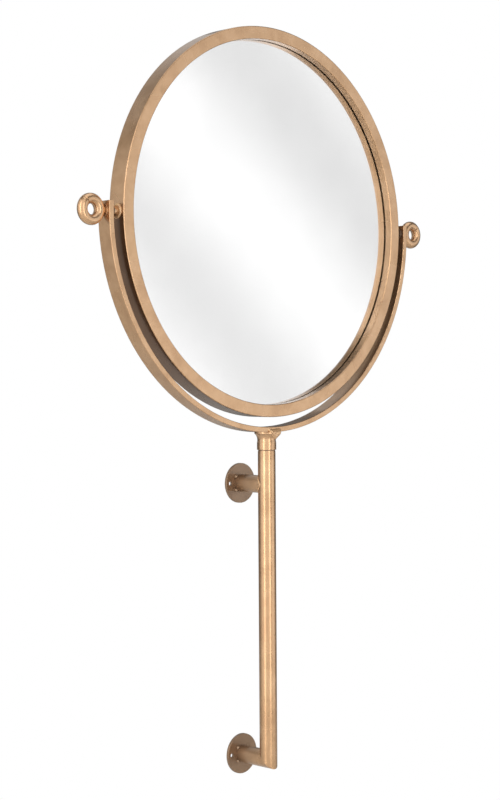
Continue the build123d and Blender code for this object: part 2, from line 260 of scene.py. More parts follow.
def gold_lacquer(name, light, mid, dark, peel, metallic=0.9):
    """Sprayed bronze-gold lacquer on steel tube and bar, satin, under a thin clear coat.

    The eye gets a soft metallic sheen with sharper highlights on top, cloudy mottling about
    20 mm across, fine orange peel, and a few dark specks. It is antiqued: left darker towards the
    wall, on the arms and plates, where less of it is rubbed back. The "wash" attribute gives the
    dark glaze that stays in a gap.
    """
    material, tree, place = new_material(name)
    cloud = add(tree, "ShaderNodeTexNoise", {"Vector": place, "Scale": per_metre(22), "Detail": 4.0,
                                             "Roughness": 0.6, "Distortion": 0.4})
    grain = add(tree, "ShaderNodeTexNoise", {"Vector": place, "Scale": per_metre(1.8), "Detail": 1.0})
    speck = add(tree, "ShaderNodeTexNoise", {"Vector": place, "Scale": per_metre(4.2), "Detail": 1.0})
    colour = add(tree, "ShaderNodeValToRGB", {"Fac": cloud}, stops=[
        (0.3, dark), (0.5, mid), (0.72, light)])
    is_speck = add(tree, "ShaderNodeMapRange", stretch(speck, 0.0, 0.6, 0.79, 0.83))
    colour = add(tree, "ShaderNodeMix", {
        "Factor": is_speck, "A": colour, "B": opaque(linear(SPECK_COLOUR))}, data_type="RGBA").outputs[2]
    # Painted shade: the colour darkens towards the wall, over the plates and arms, and grows rougher there.
    depth = add(tree, "ShaderNodeSeparateXYZ", {"Vector": place}).outputs["Y"]
    shade_start = POST_Y + 0.6 * POST_R
    painted_wall_shade = add(tree, "ShaderNodeMapRange", stretch(depth, 0.0, 0.75, shade_start, PLATE_FRONT_Y))
    colour = add(tree, "ShaderNodeMix", {"Factor": painted_wall_shade, "A": colour, "B": opaque(linear(PAINTED_WALL_SHADE))},
                 data_type="RGBA").outputs[2]
    # Painted shade: a darker brown where the mesh's gap-shade attribute is set.
    wash = add(tree, "ShaderNodeAttribute", attribute_name=GAP_SHADE_ATTRIBUTE).outputs["Fac"]
    colour = add(tree, "ShaderNodeMix", {"Factor": wash, "A": colour, "B": opaque(linear(GAP_SHADE_COLOUR))},
                 data_type="RGBA").outputs[2]
    sheen = add(tree, "ShaderNodeTexNoise", {"Vector": place, "Scale": per_metre(30), "Detail": 0.0})
    rough = add(tree, "ShaderNodeMapRange", stretch(sheen, 0.25, 0.29))
    rough = add(tree, "ShaderNodeMath", {0: painted_wall_shade, 1: 0.3, 2: rough}, operation="MULTIPLY_ADD")
    bump = add(tree, "ShaderNodeBump", {"Height": grain, "Strength": peel,
                                         "Distance": 0.08 * MM})
    shader = add(tree, "ShaderNodeBsdfPrincipled", {
        "Base Color": colour, "Metallic": metallic, "Roughness": rough, "Normal": bump,
        "Coat Weight": 0.7, "Coat Roughness": 0.12})
    add(tree, "ShaderNodeOutputMaterial", {"Surface": shader})
    return material


def float_glass(finish):
    """Float glass with ground edges: clear, almost without colour, with sharp reflections."""
    material, tree, place = new_material("float_glass_polished")
    cloud = add(tree, "ShaderNodeTexNoise", {"Vector": place, "Scale": per_metre(60), "Detail": 1.0})
    tint = add(tree, "ShaderNodeValToRGB", {"Fac": cloud}, stops=[
        (0.3, finish.glass_tint), (0.7, linear("#FDFDFD"))])
    shader = add(tree, "ShaderNodeBsdfPrincipled", {
        "Base Color": tint, "Roughness": 0.0, "IOR": 1.52, "Transmission Weight": 1.0})
    add(tree, "ShaderNodeOutputMaterial", {"Surface": shader})
    return material


def mirror_silver(finish):
    """Chemically deposited silver behind glass: a true mirror, only faintly uneven."""
    material, tree, place = new_material("silver_on_glass_deposited")
    cloud = add(tree, "ShaderNodeTexNoise", {"Vector": place, "Scale": per_metre(90), "Detail": 2.0})
    colour = add(tree, "ShaderNodeValToRGB", {"Fac": cloud}, stops=[
        (0.35, finish.silver), (0.65, linear("#F5F5F5"))])
    rough = add(tree, "ShaderNodeMapRange", stretch(cloud, 0.0, 0.012))
    shader = add(tree, "ShaderNodeBsdfPrincipled", {
        "Base Color": colour, "Metallic": 1.0, "Roughness": rough})
    add(tree, "ShaderNodeOutputMaterial", {"Surface": shader})
    return material


def backing_paint(finish):
    """Rolled protective paint over the silver: dull grey with a roller's stipple."""
    material, tree, place = new_material("mirror_backing_paint_rolled")
    stipple = add(tree, "ShaderNodeTexNoise", {"Vector": place, "Scale": per_metre(1.6), "Detail": 3.0})
    colour = add(tree, "ShaderNodeValToRGB", {"Fac": stipple}, stops=[
        (0.35, finish.paint), (0.7, linear("#7A7672"))])
    bump = add(tree, "ShaderNodeBump", {"Height": stipple, "Strength": 0.4,
                                         "Distance": 0.1 * MM})
    shader = add(tree, "ShaderNodeBsdfPrincipled", {
        "Base Color": colour, "Roughness": 0.7, "Normal": bump})
    add(tree, "ShaderNodeOutputMaterial", {"Surface": shader})
    return material


def cell_foam(finish):
    """Closed-cell polyethylene foam, cut from sheet: matt, with cells about 0.8 mm across."""
    material, tree, place = new_material("polyethylene_foam_sheet")
    cells = add(tree, "ShaderNodeTexVoronoi", {"Vector": place, "Scale": per_metre(0.8)})
    colour = add(tree, "ShaderNodeValToRGB", {"Fac": cells}, stops=[
        (0.1, linear("#2B2B2C")), (0.6, finish.foam)])
    bump = add(tree, "ShaderNodeBump", {"Height": cells, "Strength": 0.6,
                                         "Distance": 0.2 * MM})
    shader = add(tree, "ShaderNodeBsdfPrincipled", {
        "Base Color": colour, "Roughness": 0.9, "Normal": bump})
    add(tree, "ShaderNodeOutputMaterial", {"Surface": shader})
    return material


def hardboard(finish):
    """Hot-pressed hardboard: brown, with short tangled fibres and a faint shine."""
    material, tree, place = new_material("hardboard_pressed")
    warp = add(tree, "ShaderNodeTexNoise", {"Vector": place, "Scale": per_metre(9), "Detail": 2.0})
    fibre = add(tree, "ShaderNodeTexNoise", {"Vector": place, "Scale": per_metre(1.7), "Detail": 5.0,
                                             "Roughness": 0.75, "Distortion": 2.2})
    patch = add(tree, "ShaderNodeTexNoise", {"Vector": place, "Scale": per_metre(70), "Detail": 2.0})
    gentle = add(tree, "ShaderNodeMapRange", stretch(patch, 0.42, 0.58))
    both = add(tree, "ShaderNodeMath", {0: fibre, 1: gentle}, operation="ADD")
    mixed = add(tree, "ShaderNodeMapRange", stretch(both, 0.0, 1.0, 0.65, 1.35))
    colour = add(tree, "ShaderNodeValToRGB", {"Fac": mixed}, stops=[
        (0.15, finish.board_dark), (0.5, linear("#714A2A")), (0.9, finish.board_light)])
    rough = add(tree, "ShaderNodeMapRange", stretch(warp, 0.5, 0.68))
    bump = add(tree, "ShaderNodeBump", {"Height": fibre, "Strength": 0.35,
                                         "Distance": 0.12 * MM})
    shader = add(tree, "ShaderNodeBsdfPrincipled", {
        "Base Color": colour, "Roughness": rough, "Normal": bump})
    add(tree, "ShaderNodeOutputMaterial", {"Surface": shader})
    return material


def bare_metal(name, colour, other, drawn_out, rough_low, rough_high):
    """Bare or plated steel. Marks are drawn out along the way that it was rolled or drawn."""
    material, tree, place = new_material(name)
    drawn = add(tree, "ShaderNodeMapping", {"Vector": place, "Scale": drawn_out})
    lines = add(tree, "ShaderNodeTexNoise", {"Vector": drawn, "Scale": per_metre(0.5),
                                             "Detail": 3.0})
    cloud = add(tree, "ShaderNodeTexNoise", {"Vector": place, "Scale": per_metre(14), "Detail": 3.0})
    tone = add(tree, "ShaderNodeValToRGB", {"Fac": cloud}, stops=[(0.35, colour), (0.7, other)])
    rough = add(tree, "ShaderNodeMapRange", stretch(lines, rough_low, rough_high))
    bump = add(tree, "ShaderNodeBump", {"Height": lines, "Strength": 0.15,
                                         "Distance": 0.05 * MM})
    shader = add(tree, "ShaderNodeBsdfPrincipled", {
        "Base Color": tone, "Metallic": 1.0, "Roughness": rough, "Normal": bump})
    add(tree, "ShaderNodeOutputMaterial", {"Surface": shader})
    return material


def moulded_nylon(finish):
    """Injection-moulded nylon, dyed dark brown: softly shiny, with a fine spark-eroded grain."""
    material, tree, place = new_material("nylon_moulded")
    grain = add(tree, "ShaderNodeTexNoise", {"Vector": place, "Scale": per_metre(0.6), "Detail": 2.0})
    colour = add(tree, "ShaderNodeValToRGB", {"Fac": grain}, stops=[
        (0.3, finish.nylon), (0.75, linear("#574434"))])
    rough = add(tree, "ShaderNodeMapRange", stretch(grain, 0.42, 0.56))
    bump = add(tree, "ShaderNodeBump", {"Height": grain, "Strength": 0.25,
                                         "Distance": 0.05 * MM})
    shader = add(tree, "ShaderNodeBsdfPrincipled", {
        "Base Color": colour, "Roughness": rough, "IOR": 1.53, "Normal": bump})
    add(tree, "ShaderNodeOutputMaterial", {"Surface": shader})
    return material


def make_materials():
    """Every finish, by the name of the record's slot."""
    finish = settings()[1]
    along_z = (1.0, 1.0, 0.03)
    even = (1.0, 1.0, 1.0)
    return {
        "antique_gold_lacquer": gold_lacquer("gold_lacquer_on_steel_sprayed", finish.lacquer_light,
                                             finish.lacquer_mid, finish.lacquer_dark, 0.08),
        "weld_lacquer": gold_lacquer("gold_lacquer_on_weld_sprayed", finish.weld_light, finish.lacquer_mid,
                                     finish.weld_dark, 0.5, metallic=0.45),
        "float_glass": float_glass(finish),
        "mirror_silver": mirror_silver(finish),
        "backing_paint": backing_paint(finish),
        "grey_foam": cell_foam(finish),
        "hardboard": hardboard(finish),
        "zinc_steel": bare_metal("zinc_plated_steel_pressed", finish.zinc, linear("#B3B9C2"), even,
                                 0.25, 0.4),
        "plain_steel": bare_metal("steel_tube_drawn", finish.steel, linear("#989793"), along_z, 0.22, 0.38),
        "black_nylon": moulded_nylon(finish),
        "blackened_steel": bare_metal("black_oxide_steel_machined", finish.oxide, linear("#312C28"), even,
                                      0.35, 0.5),
    }


# ---------------------------------------------------------------- mesh helpers
def dress(*nodes):
    """Give CAD nodes the material of their own record slot."""
    slots = {part["node"]: part["material_slot"] for part in frame["record"]["subparts"]}
    for node in nodes:
        data = frame["nodes"][node].data
        data.materials.clear()
        data.materials.append(MATERIALS[slots[node]])


def show(mesh, name, slot, *nodes, sharp_deg=35.0):
    """Make a piece of a mesh: smooth, with its material, on the body of the CAD nodes it stands for."""
    for polygon in mesh.polygons:
        polygon.use_smooth = True
    mesh.set_sharp_from_angle(angle=math.radians(sharp_deg))
    if not mesh.materials:
        mesh.materials.append(MATERIALS[slot])
    piece = bpy.data.objects.new(name, mesh)
    bpy.context.scene.collection.objects.link(piece)
    evened = piece.modifiers.new("Even normals", "WEIGHTED_NORMAL")
    evened.keep_sharp = True
    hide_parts(*nodes)
    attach(piece, BODY_OF[nodes[0]])
    return piece


def rounded(corners, steps=5):
    """An outline of (x, y, radius) corners with its corners rounded, as points."""
    points = []
    for i, (x, y, radius) in enumerate(corners):
        here = Vector((x, y))
        if radius == 0:
            points.append(here)
            continue
        before = (Vector(corners[i - 1][:2]) - here).normalized()
        after = (Vector(corners[(i + 1) % len(corners)][:2]) - here).normalized()
        half = before.angle(after) / 2
        centre = here + (before + after).normalized() * (radius / math.sin(half))
        start = here + before * (radius / math.tan(half)) - centre
        end = here + after * (radius / math.tan(half)) - centre
        turn = start.angle_signed(end)
        points += [centre + Matrix.Rotation(-turn * k / steps, 2) @ start for k in range(steps + 1)]
    return points


def lathe(points, centre, segments=256):
    """Turn a closed outline of (radius, along Y) points about a line through centre, along Y."""
    mesh = bpy.data.meshes.new("turned")
    build = bmesh.new()
    rings = []
    for radius, along in points:
        if radius < TOUCH:
            rings.append([build.verts.new(centre + Vector((0, along, 0)))] * segments)
            continue
        ring = []
        for k in range(segments):
            angle = 2 * math.pi * k / segments
            spoke = Vector((radius * math.cos(angle), along, radius * math.sin(angle)))
            ring.append(build.verts.new(centre + spoke))
        rings.append(ring)
    for one, two in zip(rings, rings[1:] + rings[:1]):
        for k in range(segments):
            corners = [one[k - 1], one[k], two[k], two[k - 1]]
            face = [c for j, c in enumerate(corners) if c is not corners[j - 1]]
            if len(face) > 2:
                build.faces.new(face)
    bmesh.ops.recalc_face_normals(build, faces=build.faces)
    build.to_mesh(mesh)
    build.free()
    return mesh


def evaluated(piece):
    """The finished mesh of an object with modifiers; the object is then removed."""
    graph = bpy.context.evaluated_depsgraph_get()
    mesh = bpy.data.meshes.new_from_object(piece.evaluated_get(graph), preserve_all_data_layers=True,
                                           depsgraph=graph)
    bpy.data.objects.remove(piece)
    return mesh


def from_nodes(start, build, values):
    """Run a geometry node tree on an object, with named inputs, and return the plain mesh."""
    tree = bpy.data.node_groups.new(build.__name__, "GeometryNodeTree")
    tree.interface.new_socket("Geometry", in_out="INPUT", socket_type="NodeSocketGeometry")
    tree.interface.new_socket("Geometry", in_out="OUTPUT", socket_type="NodeSocketGeometry")
    kinds = {float: "NodeSocketFloat", int: "NodeSocketInt", bpy.types.Material: "NodeSocketMaterial",
             bpy.types.Object: "NodeSocketObject"}
    names = {}
    for key, value in values.items():
        kind = kinds[type(value)]
        names[key] = tree.interface.new_socket(key, in_out="INPUT", socket_type=kind).identifier
    entry = add(tree, "NodeGroupInput")
    result = build(tree, entry.outputs)
    finished = add(tree, "GeometryNodeSetMaterial", {
        "Geometry": add(tree, "GeometryNodeRealizeInstances", {"Geometry": result}),
        "Material": entry.outputs["Material"]})
    add(tree, "NodeGroupOutput", {"Geometry": finished})
    modifier = start.modifiers.new("Build", "NODES")
    modifier.node_group = tree
    for key, value in values.items():
        modifier[names[key]] = value
    return evaluated(start)


def linked(name, data):
    """A scratch object that a node tree or a modifier works on."""
    made = bpy.data.objects.new(name, data)
    bpy.context.scene.collection.objects.link(made)
    return made


def path(points):
    """A closed curve object through points."""
    data = bpy.data.curves.new("path", "CURVE")
    data.dimensions = "3D"
    spline = data.splines.new("POLY")
    spline.points.add(len(points) - 1)
    for point, place in zip(spline.points, points):
        point.co = (*place, 1.0)
    spline.use_cyclic_u = True
    return linked("path", data)


def joined(meshes):
    """Several meshes as one."""
    build = bmesh.new()
    for mesh in meshes:
        build.from_mesh(mesh)
    made = bpy.data.meshes.new("joined")
    build.to_mesh(made)
    build.free()
    made.materials.append(meshes[0].materials[0])
    return made


# ---------------------------------------------------------------- node trees for what repeats
def bead(tree, given):
    """Ripples of weld metal laid one on another along a seam."""
    spaced = add(tree, "GeometryNodeResampleCurve", {"Curve": given["Geometry"], "Length": given["Pitch"]},
                 mode="LENGTH")
    drop = add(tree, "GeometryNodeMeshIcoSphere", {"Radius": given["Half width"], "Subdivisions": 3})
    vary = add(tree, "FunctionNodeRandomValue", {2: 0.86, 3: 1.06, "Seed": given["Seed"]},
               data_type="FLOAT")
    laid = add(tree, "GeometryNodeInstanceOnPoints", {
        "Points": spaced, "Instance": drop, "Scale": vary.outputs[1]})
    return laid


def ring_of_pieces(tree, given):
    """The same piece set round a circle, its local X outward and its local Z along the circle's axis."""
    circle = add(tree, "GeometryNodeMeshCircle", {"Vertices": given["Count"], "Radius": given["Radius"]})
    index = add(tree, "GeometryNodeInputIndex")
    step = add(tree, "ShaderNodeMath", {0: 2 * math.pi, 1: given["Count"]}, operation="DIVIDE")
    turn = add(tree, "ShaderNodeMath", {0: index, 1: step}, operation="MULTIPLY")
    facing = add(tree, "ShaderNodeCombineXYZ", {"Z": turn})
    piece = add(tree, "GeometryNodeObjectInfo", {"Object": given["Piece"]})
    laid = add(tree, "GeometryNodeInstanceOnPoints", {
        "Points": circle, "Instance": piece.outputs["Geometry"],
        "Rotation": facing})
    return laid


def bent_ring(tree, given):
    """A rod bent round into a ring, its two ends rounded and nearly meeting."""
    arc = add(tree, "GeometryNodeCurveArc", {
        "Resolution": given["Steps"], "Radius": given["Ring radius"], "Start Angle": given["Start"],
        "Sweep Angle": given["Sweep"]}, mode="RADIUS")
    place = add(tree, "GeometryNodeSplineParameter")
    whole = add(tree, "GeometryNodeSplineLength")
    left = add(tree, "ShaderNodeMath", {0: whole, 1: place.outputs["Length"]},
               operation="SUBTRACT")
    near = add(tree, "ShaderNodeMath", {0: place.outputs["Length"], 1: left}, operation="MINIMUM")
    share = add(tree, "ShaderNodeMapRange", {"Value": near, "From Max": given["End rounding"],
                                             "To Min": 1.0, "To Max": 0.0})
    squared = add(tree, "ShaderNodeMath", {0: share, 1: 2.0}, operation="POWER")
    inside = add(tree, "ShaderNodeMath", {0: 1.0, 1: squared}, operation="SUBTRACT")
    arch = add(tree, "ShaderNodeMath", {0: inside, 1: 0.5}, operation="POWER")
    taper = add(tree, "ShaderNodeMapRange", {"Value": arch, "To Min": 0.9, "To Max": 1.0})
    profile = add(tree, "GeometryNodeCurvePrimitiveCircle",
                  {"Resolution": 40, "Radius": given["Wire radius"]})
    settled = add(tree, "GeometryNodeSetCurveRadius", {"Curve": arc,
                                                       "Radius": taper})
    swept = add(tree, "GeometryNodeCurveToMesh", {
        "Curve": settled, "Profile Curve": profile, "Fill Caps": True})
    if "Scale" in swept.inputs:
        tree.links.new(taper.outputs["Result"], swept.inputs["Scale"])
    return swept


# ---------------------------------------------------------------- piece builders
def lay_bead(points, half_width, seed):
    """A weld bead along a closed seam."""
    return from_nodes(path(points), bead, {
        "Pitch": settings()[0].bead_pitch, "Half width": half_width, "Seed": seed,
        "Material": MATERIALS["weld_lacquer"]})


def lumpy(node, name, slot):
    """A weld patch: the CAD solid, softened and made uneven."""
    sizes = settings()[0]
    mesh = frame["nodes"][node].data.copy()
    mesh.materials.clear()
    mesh.materials.append(MATERIALS[slot])
    build = bmesh.new()
    build.from_mesh(mesh)
    bmesh.ops.remove_doubles(build, verts=build.verts, dist=0.002 * MM)
    build.to_mesh(mesh)
    build.free()
    rough = linked(name + "_rough", mesh)
    remesh = rough.modifiers.new("Remesh", "REMESH")
    remesh.mode = "VOXEL"
    remesh.voxel_size = sizes.patch_grain
    smooth = rough.modifiers.new("Smooth", "SMOOTH")
    smooth.iterations = 5
    clouds = bpy.data.textures.new(name + "_lumps", "CLOUDS")
    clouds.noise_scale = 2.4 * MM
    lumps = rough.modifiers.new("Lumps", "DISPLACE")
    lumps.texture = clouds
    lumps.strength = sizes.patch_lumps
    lumps.mid_level = 0.55
    show(evaluated(rough), name, slot, node, sharp_deg=70.0)


def turned(points, node, name, slot):
    """A piece turned about the mirror's own axis."""
    return show(lathe(points, PIVOT), name, slot, node)


def build_frame_ring():
    """The rolled ring: square front with softly rounded edges, a thin rim behind.

    Its outer side is glazed darker below the pivots, where the yoke covers it.
    """
    low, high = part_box("mirror_frame")
    front, back = low.y - PIVOT.y, high.y - PIVOT.y
    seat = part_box("glass")[0].y - PIVOT.y
    sight, inner = FRAME_R - FRAME_FACE, FRAME_R - FRAME_RIM
    edge, back_edge, seat_edge = 1.2 * MM, 0.6 * MM, 0.3 * MM
    outline = [(sight, front, edge), (FRAME_R, front, edge), (FRAME_R, back, back_edge),
               (inner, back, back_edge), (inner, seat, 0), (sight, seat, seat_edge)]
    mesh = lathe(rounded(outline), PIVOT, segments=288)
    # Painted shade: the outer side is marked darker below the pivots, fading in over GAP_FADE.
    wash = mesh.attributes.new(GAP_SHADE_ATTRIBUTE, "FLOAT", "POINT")
    skin = 0.02 * MM
    for vertex, value in zip(mesh.vertices, wash.data):
        place = vertex.co - PIVOT
        on_side = math.hypot(place.x, place.z) > FRAME_R - skin
        below = min(max((GAP_START - place.z) / GAP_FADE, 0.0), 1.0)
        value.value = GAP_SHADE_DEPTH * below * on_side
    show(mesh, "frame_ring", "antique_gold_lacquer", "mirror_frame")


def build_pane():
    """The glass, its silver and paint, and the foam behind them."""
    sizes = settings()[0]
    low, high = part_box("glass")
    radius = (high.x - low.x) / 2
    front, back = low.y - PIVOT.y, high.y - PIVOT.y - sizes.glass_back_gap
    bevel = sizes.glass_bevel
    outline = [Vector(p) for p in ((0, front), (radius - bevel, front), (radius, front + bevel),
                                   (radius, back - bevel), (radius - bevel, back), (0, back))]
    turned(outline, "glass", "glass_pane", "float_glass")
    low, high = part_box("silvering")
    radius = (high.x - low.x) / 2
    front, back = low.y - PIVOT.y, high.y - PIVOT.y
    mesh = lathe([Vector(p) for p in ((0, front), (radius, front), (radius, back), (0, back))], PIVOT)
    for slot in ("mirror_silver", "backing_paint"):
        mesh.materials.append(MATERIALS[slot])
    for polygon in mesh.polygons:
        polygon.material_index = int(polygon.normal.y > -0.5)
    show(mesh, "silver_and_paint", "mirror_silver", "silvering")
    low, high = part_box("foam_pad")
    radius, soft = (high.x - low.x) / 2, 0.7 * MM
    front, back = low.y - PIVOT.y, high.y - PIVOT.y
    outline = [(0, front, 0), (radius, front, soft), (radius, back, soft), (0, back, 0)]
    turned(rounded(outline), "foam_pad", "foam_sheet", "grey_foam")


def pressed_clip():
    """A steel angle: a foot with a round end on the board, and an upstand at the rim."""
    reach, thick, width, tall, outer = (v * MM for v in (15.0, 1.0, 12.0, 5.0, 10.0))
    bend, inside, edge, corner = (v * MM for v in (1.3, 0.4, 0.2, 4.5))
    section = [(outer - reach, 0, 0), (outer, 0, bend), (outer, tall, edge), (outer - thick, tall, edge),
               (outer - thick, thick, inside), (outer - reach, thick, 0)]
    points = rounded(section)
    build = bmesh.new()
    sides = [[build.verts.new((p.x, y, p.y)) for p in points] for y in (-width / 2, width / 2)]
    build.faces.new(sides[0])
    build.faces.new(list(reversed(sides[1])))
    for k in range(len(points)):
        build.faces.new((sides[0][k - 1], sides[1][k - 1], sides[1][k], sides[0][k]))
    bmesh.ops.recalc_face_normals(build, faces=build.faces)
    end = [e for e in build.edges if all(abs(v.co.x - (outer - reach)) < TOUCH for v in e.verts)
           and abs(e.verts[0].co.y - e.verts[1].co.y) < TOUCH]
    bmesh.ops.bevel(build, geom=end, offset=corner, segments=8, affect="EDGES", profile=0.5)
    mesh = bpy.data.meshes.new("clip")
    build.to_mesh(mesh)
    build.free()
    return mesh


def pan_screw():
    """A pan-head screw with a plain cross recess, its axis along local Z."""
    head_h, shank_r, under, clip_t = (v * MM for v in (1.8, 1.5, 2.4, 1.0))
    point, rim, crown = (v * MM for v in (0.3, 0.15, 1.0))
    slot_long, slot_wide, slot_deep = (v * MM for v in (3.4, 0.75, 2.0))
    outline = [(0, -under, 0), (shank_r, -under, point), (shank_r, clip_t, 0), (SCREW_HEAD_R, clip_t, rim),
               (SCREW_HEAD_R, clip_t + head_h, crown), (0, clip_t + head_h, 0)]
    mesh = lathe(rounded(outline), Vector(), 48)
    mesh.transform(Matrix.Rotation(math.radians(90), 4, "X"))
    screw = linked("screw", mesh)
    for angle in (0, 90):
        slot_mesh = bpy.data.meshes.new("slot")
        build = bmesh.new()
        place = (Matrix.Translation((0, 0, clip_t + head_h)) @ Matrix.Rotation(math.radians(angle), 4, "Z")
                 @ Matrix.Diagonal((slot_long, slot_wide, slot_deep, 1.0)))
        bmesh.ops.create_cube(build, size=1.0, matrix=place)
        build.to_mesh(slot_mesh)
        build.free()
        cutter = linked("slot", slot_mesh)
        cut = screw.modifiers.new("Recess", "BOOLEAN")
        cut.object = cutter
        cut.solver = "EXACT"
        screw = linked("screw", evaluated(screw))
        bpy.data.objects.remove(cutter)
    mesh = screw.data
    bpy.data.objects.remove(screw)
    return mesh


def build_backing():
    """Hardboard, with pressed clips and pan-head screws set round it."""
    sizes = settings()[0]
    dress("backing_board")
    low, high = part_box("clip_screws")
    axis = Vector((PIVOT.x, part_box("backing_board")[1].y, PIVOT.z))
    half_step = math.pi / sizes.clip_count
    radius = ((high.x - low.x) / 2 - SCREW_HEAD_R) / math.cos(half_step)
    place = (Matrix.Translation(axis) @ Matrix.Rotation(half_step, 4, "Y")
             @ Matrix.Rotation(math.radians(-90), 4, "X"))
    for mesh, node, name in ((pressed_clip(), "retaining_clips", "backing_clips"),
                             (pan_screw(), "clip_screws", "backing_screws")):
        piece = linked("one_" + name, mesh)
        carrier = linked("carrier", bpy.data.meshes.new("carrier"))
        made = from_nodes(carrier, ring_of_pieces, {
            "Count": sizes.clip_count, "Radius": radius, "Piece": piece,
            "Material": MATERIALS["zinc_steel"]})
        bpy.data.objects.remove(piece)
        made.transform(place)
        show(made, name, "zinc_steel", node)


def weld_patch(half, shift, side):
    """Weld metal that fills the corner between the collar's lip and one edge of the yoke.

    It is a rounded triangle, laid over the lip and cove and up the yoke's edge, and sunk at its rim.
    """
    rise, drop, crown, sunk, thick, lump = (v * MM for v in (5.0, 9.0, 1.4, 0.4, 2.4, 0.35))
    lip_h, cove_end, cove_deep, lump_wide = 1.2 * MM, 11.6 * MM, 1.6 * MM, 2.6 * MM
    lip_r, band_r = extent("collar").x / 2, POST_R + 0.9 * MM
    yoke_edge, under = extent("yoke_bar").y / 2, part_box("yoke_bar")[0].z
    corner, flank, toe = 1.2 * MM, 4.0 * MM, 2.4 * MM
    waist, waist_z = 0.62 * half, -0.35 * drop
    outline = rounded([(-half, rise, corner), (-waist, waist_z, flank), (0, -drop, toe),
                       (waist, waist_z, flank), (half, rise, corner)], steps=10)
    splits, rings = 3, 16
    sides = zip(outline, outline[1:] + outline[:1])
    outline = [a.lerp(b, k / splits) for a, b in sides for k in range(splits)]

    def under_weld(x, z):
        share = min(max((-lip_h - z) / (cove_end - lip_h), 0.0), 1.0)
        radius = lip_r + (band_r - lip_r) * share - cove_deep * 4 * share * (1 - share)
        on_collar = math.sqrt(max(radius ** 2 - x ** 2, 0.0)) if z < 0 else 0.0
        return max(on_collar, yoke_edge if z > -lip_h else 0.6 * yoke_edge)

    def over_weld(z):
        leaning = 0.9 * (lip_r - yoke_edge) * min(max(z / rise, 0.0), 1.0) ** 1.5
        return lip_r - leaning - crown * min(max(-z / drop, 0.0), 1.0) ** 1.5

    build = bmesh.new()
    layers = {}
    for layer in ("face", "back"):
        layers[layer] = []
        for ring in range(rings + 1):
            share = ring / rings
            row = []
            for x, z in (outline if ring else outline[:1]):
                x, z = x * share, (z + drop / 4) * share - drop / 4
                low = under_weld(x, z) - sunk
                uneven = lump * (noise.noise(Vector((x, side * MM, z)) / lump_wide) - 0.5)
                high = min(over_weld(z) + uneven, lip_r)
                depth = low + max(high - low, 0.0) * (1 - share ** 5)
                if layer == "back":
                    depth = low - thick
                row.append(build.verts.new((x + shift, POST_Y + side * depth, under + z)))
            layers[layer].append(row)
    around = len(outline)
    for rows in layers.values():
        for k in range(around):
            build.faces.new((rows[0][0], rows[1][k - 1], rows[1][k]))
        for one, two in zip(rows[1:], rows[2:]):
            for k in range(around):
                build.faces.new((one[k - 1], two[k - 1], two[k], one[k]))
    for k in range(around):
        face, back = layers["face"][-1], layers["back"][-1]
        build.faces.new((face[k - 1], back[k - 1], back[k], face[k]))
    bmesh.ops.recalc_face_normals(build, faces=build.faces)
    mesh = bpy.data.meshes.new("patch")
    build.to_mesh(mesh)
    build.free()
    return mesh


def build_head():
    """The yoke bar and the collar, with the weld patches between them."""
    dress("yoke_bar", "collar")
    front = weld_patch(12.0 * MM, 3.4 * MM, side=-1)
    back = weld_patch(6.5 * MM, 0.0, side=1)
    front.materials.append(MATERIALS["weld_lacquer"])
    show(joined([front, back]), "collar_weld_patches", "weld_lacquer", "collar_weld", sharp_deg=80.0)


def turned_washer(side):
    """A lock washer with broken edges, lacquered with the eye screw that holds it."""
    low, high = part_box(side + "_lock_washer")
    outer_r, thick = (high.z - low.z) / 2, high.x - low.x
    edge, clear = 0.25 * MM, 0.15 * MM
    bore_r = EYE_SHANK_R + clear
    outline = [(bore_r, 0, edge), (outer_r, 0, edge), (outer_r, thick, edge), (bore_r, thick, edge)]
    mesh = lathe(rounded(outline), Vector(), 96)
    mesh.transform(Matrix.Rotation(math.radians(-90), 4, "Z"))
    mesh.transform(Matrix.Translation((low.x, PIVOT.y, PIVOT.z)))
    show(mesh, side + "_washer_ring", "antique_gold_lacquer", side + "_lock_washer")


def build_pivots():
    """Barrels welded to the frame, with spacers on the screws and lock washers outside."""
    sizes = settings()[0]
    steps, outside, proud = 64, 0.8 * MM, 0.1 * MM
    for side, sign in (("left", -1), ("right", 1)):
        dress(side + "_pivot_barrel", side + "_pivot_spacer")
        turned_washer(side)
        seam_r = extent(side + "_pivot_barrel").z / 2 + outside
        points = []
        for k in range(steps):
            angle = 2 * math.pi * k / steps
            y, z = seam_r * math.cos(angle), seam_r * math.sin(angle)
            points.append(PIVOT + Vector((sign * (math.sqrt(FRAME_R ** 2 - z ** 2) + proud), y, z)))
        mesh = lay_bead(points, sizes.barrel_bead, seed=3)
        show(mesh, side + "_barrel_bead", "weld_lacquer", side + "_barrel_weld", sharp_deg=60.0)


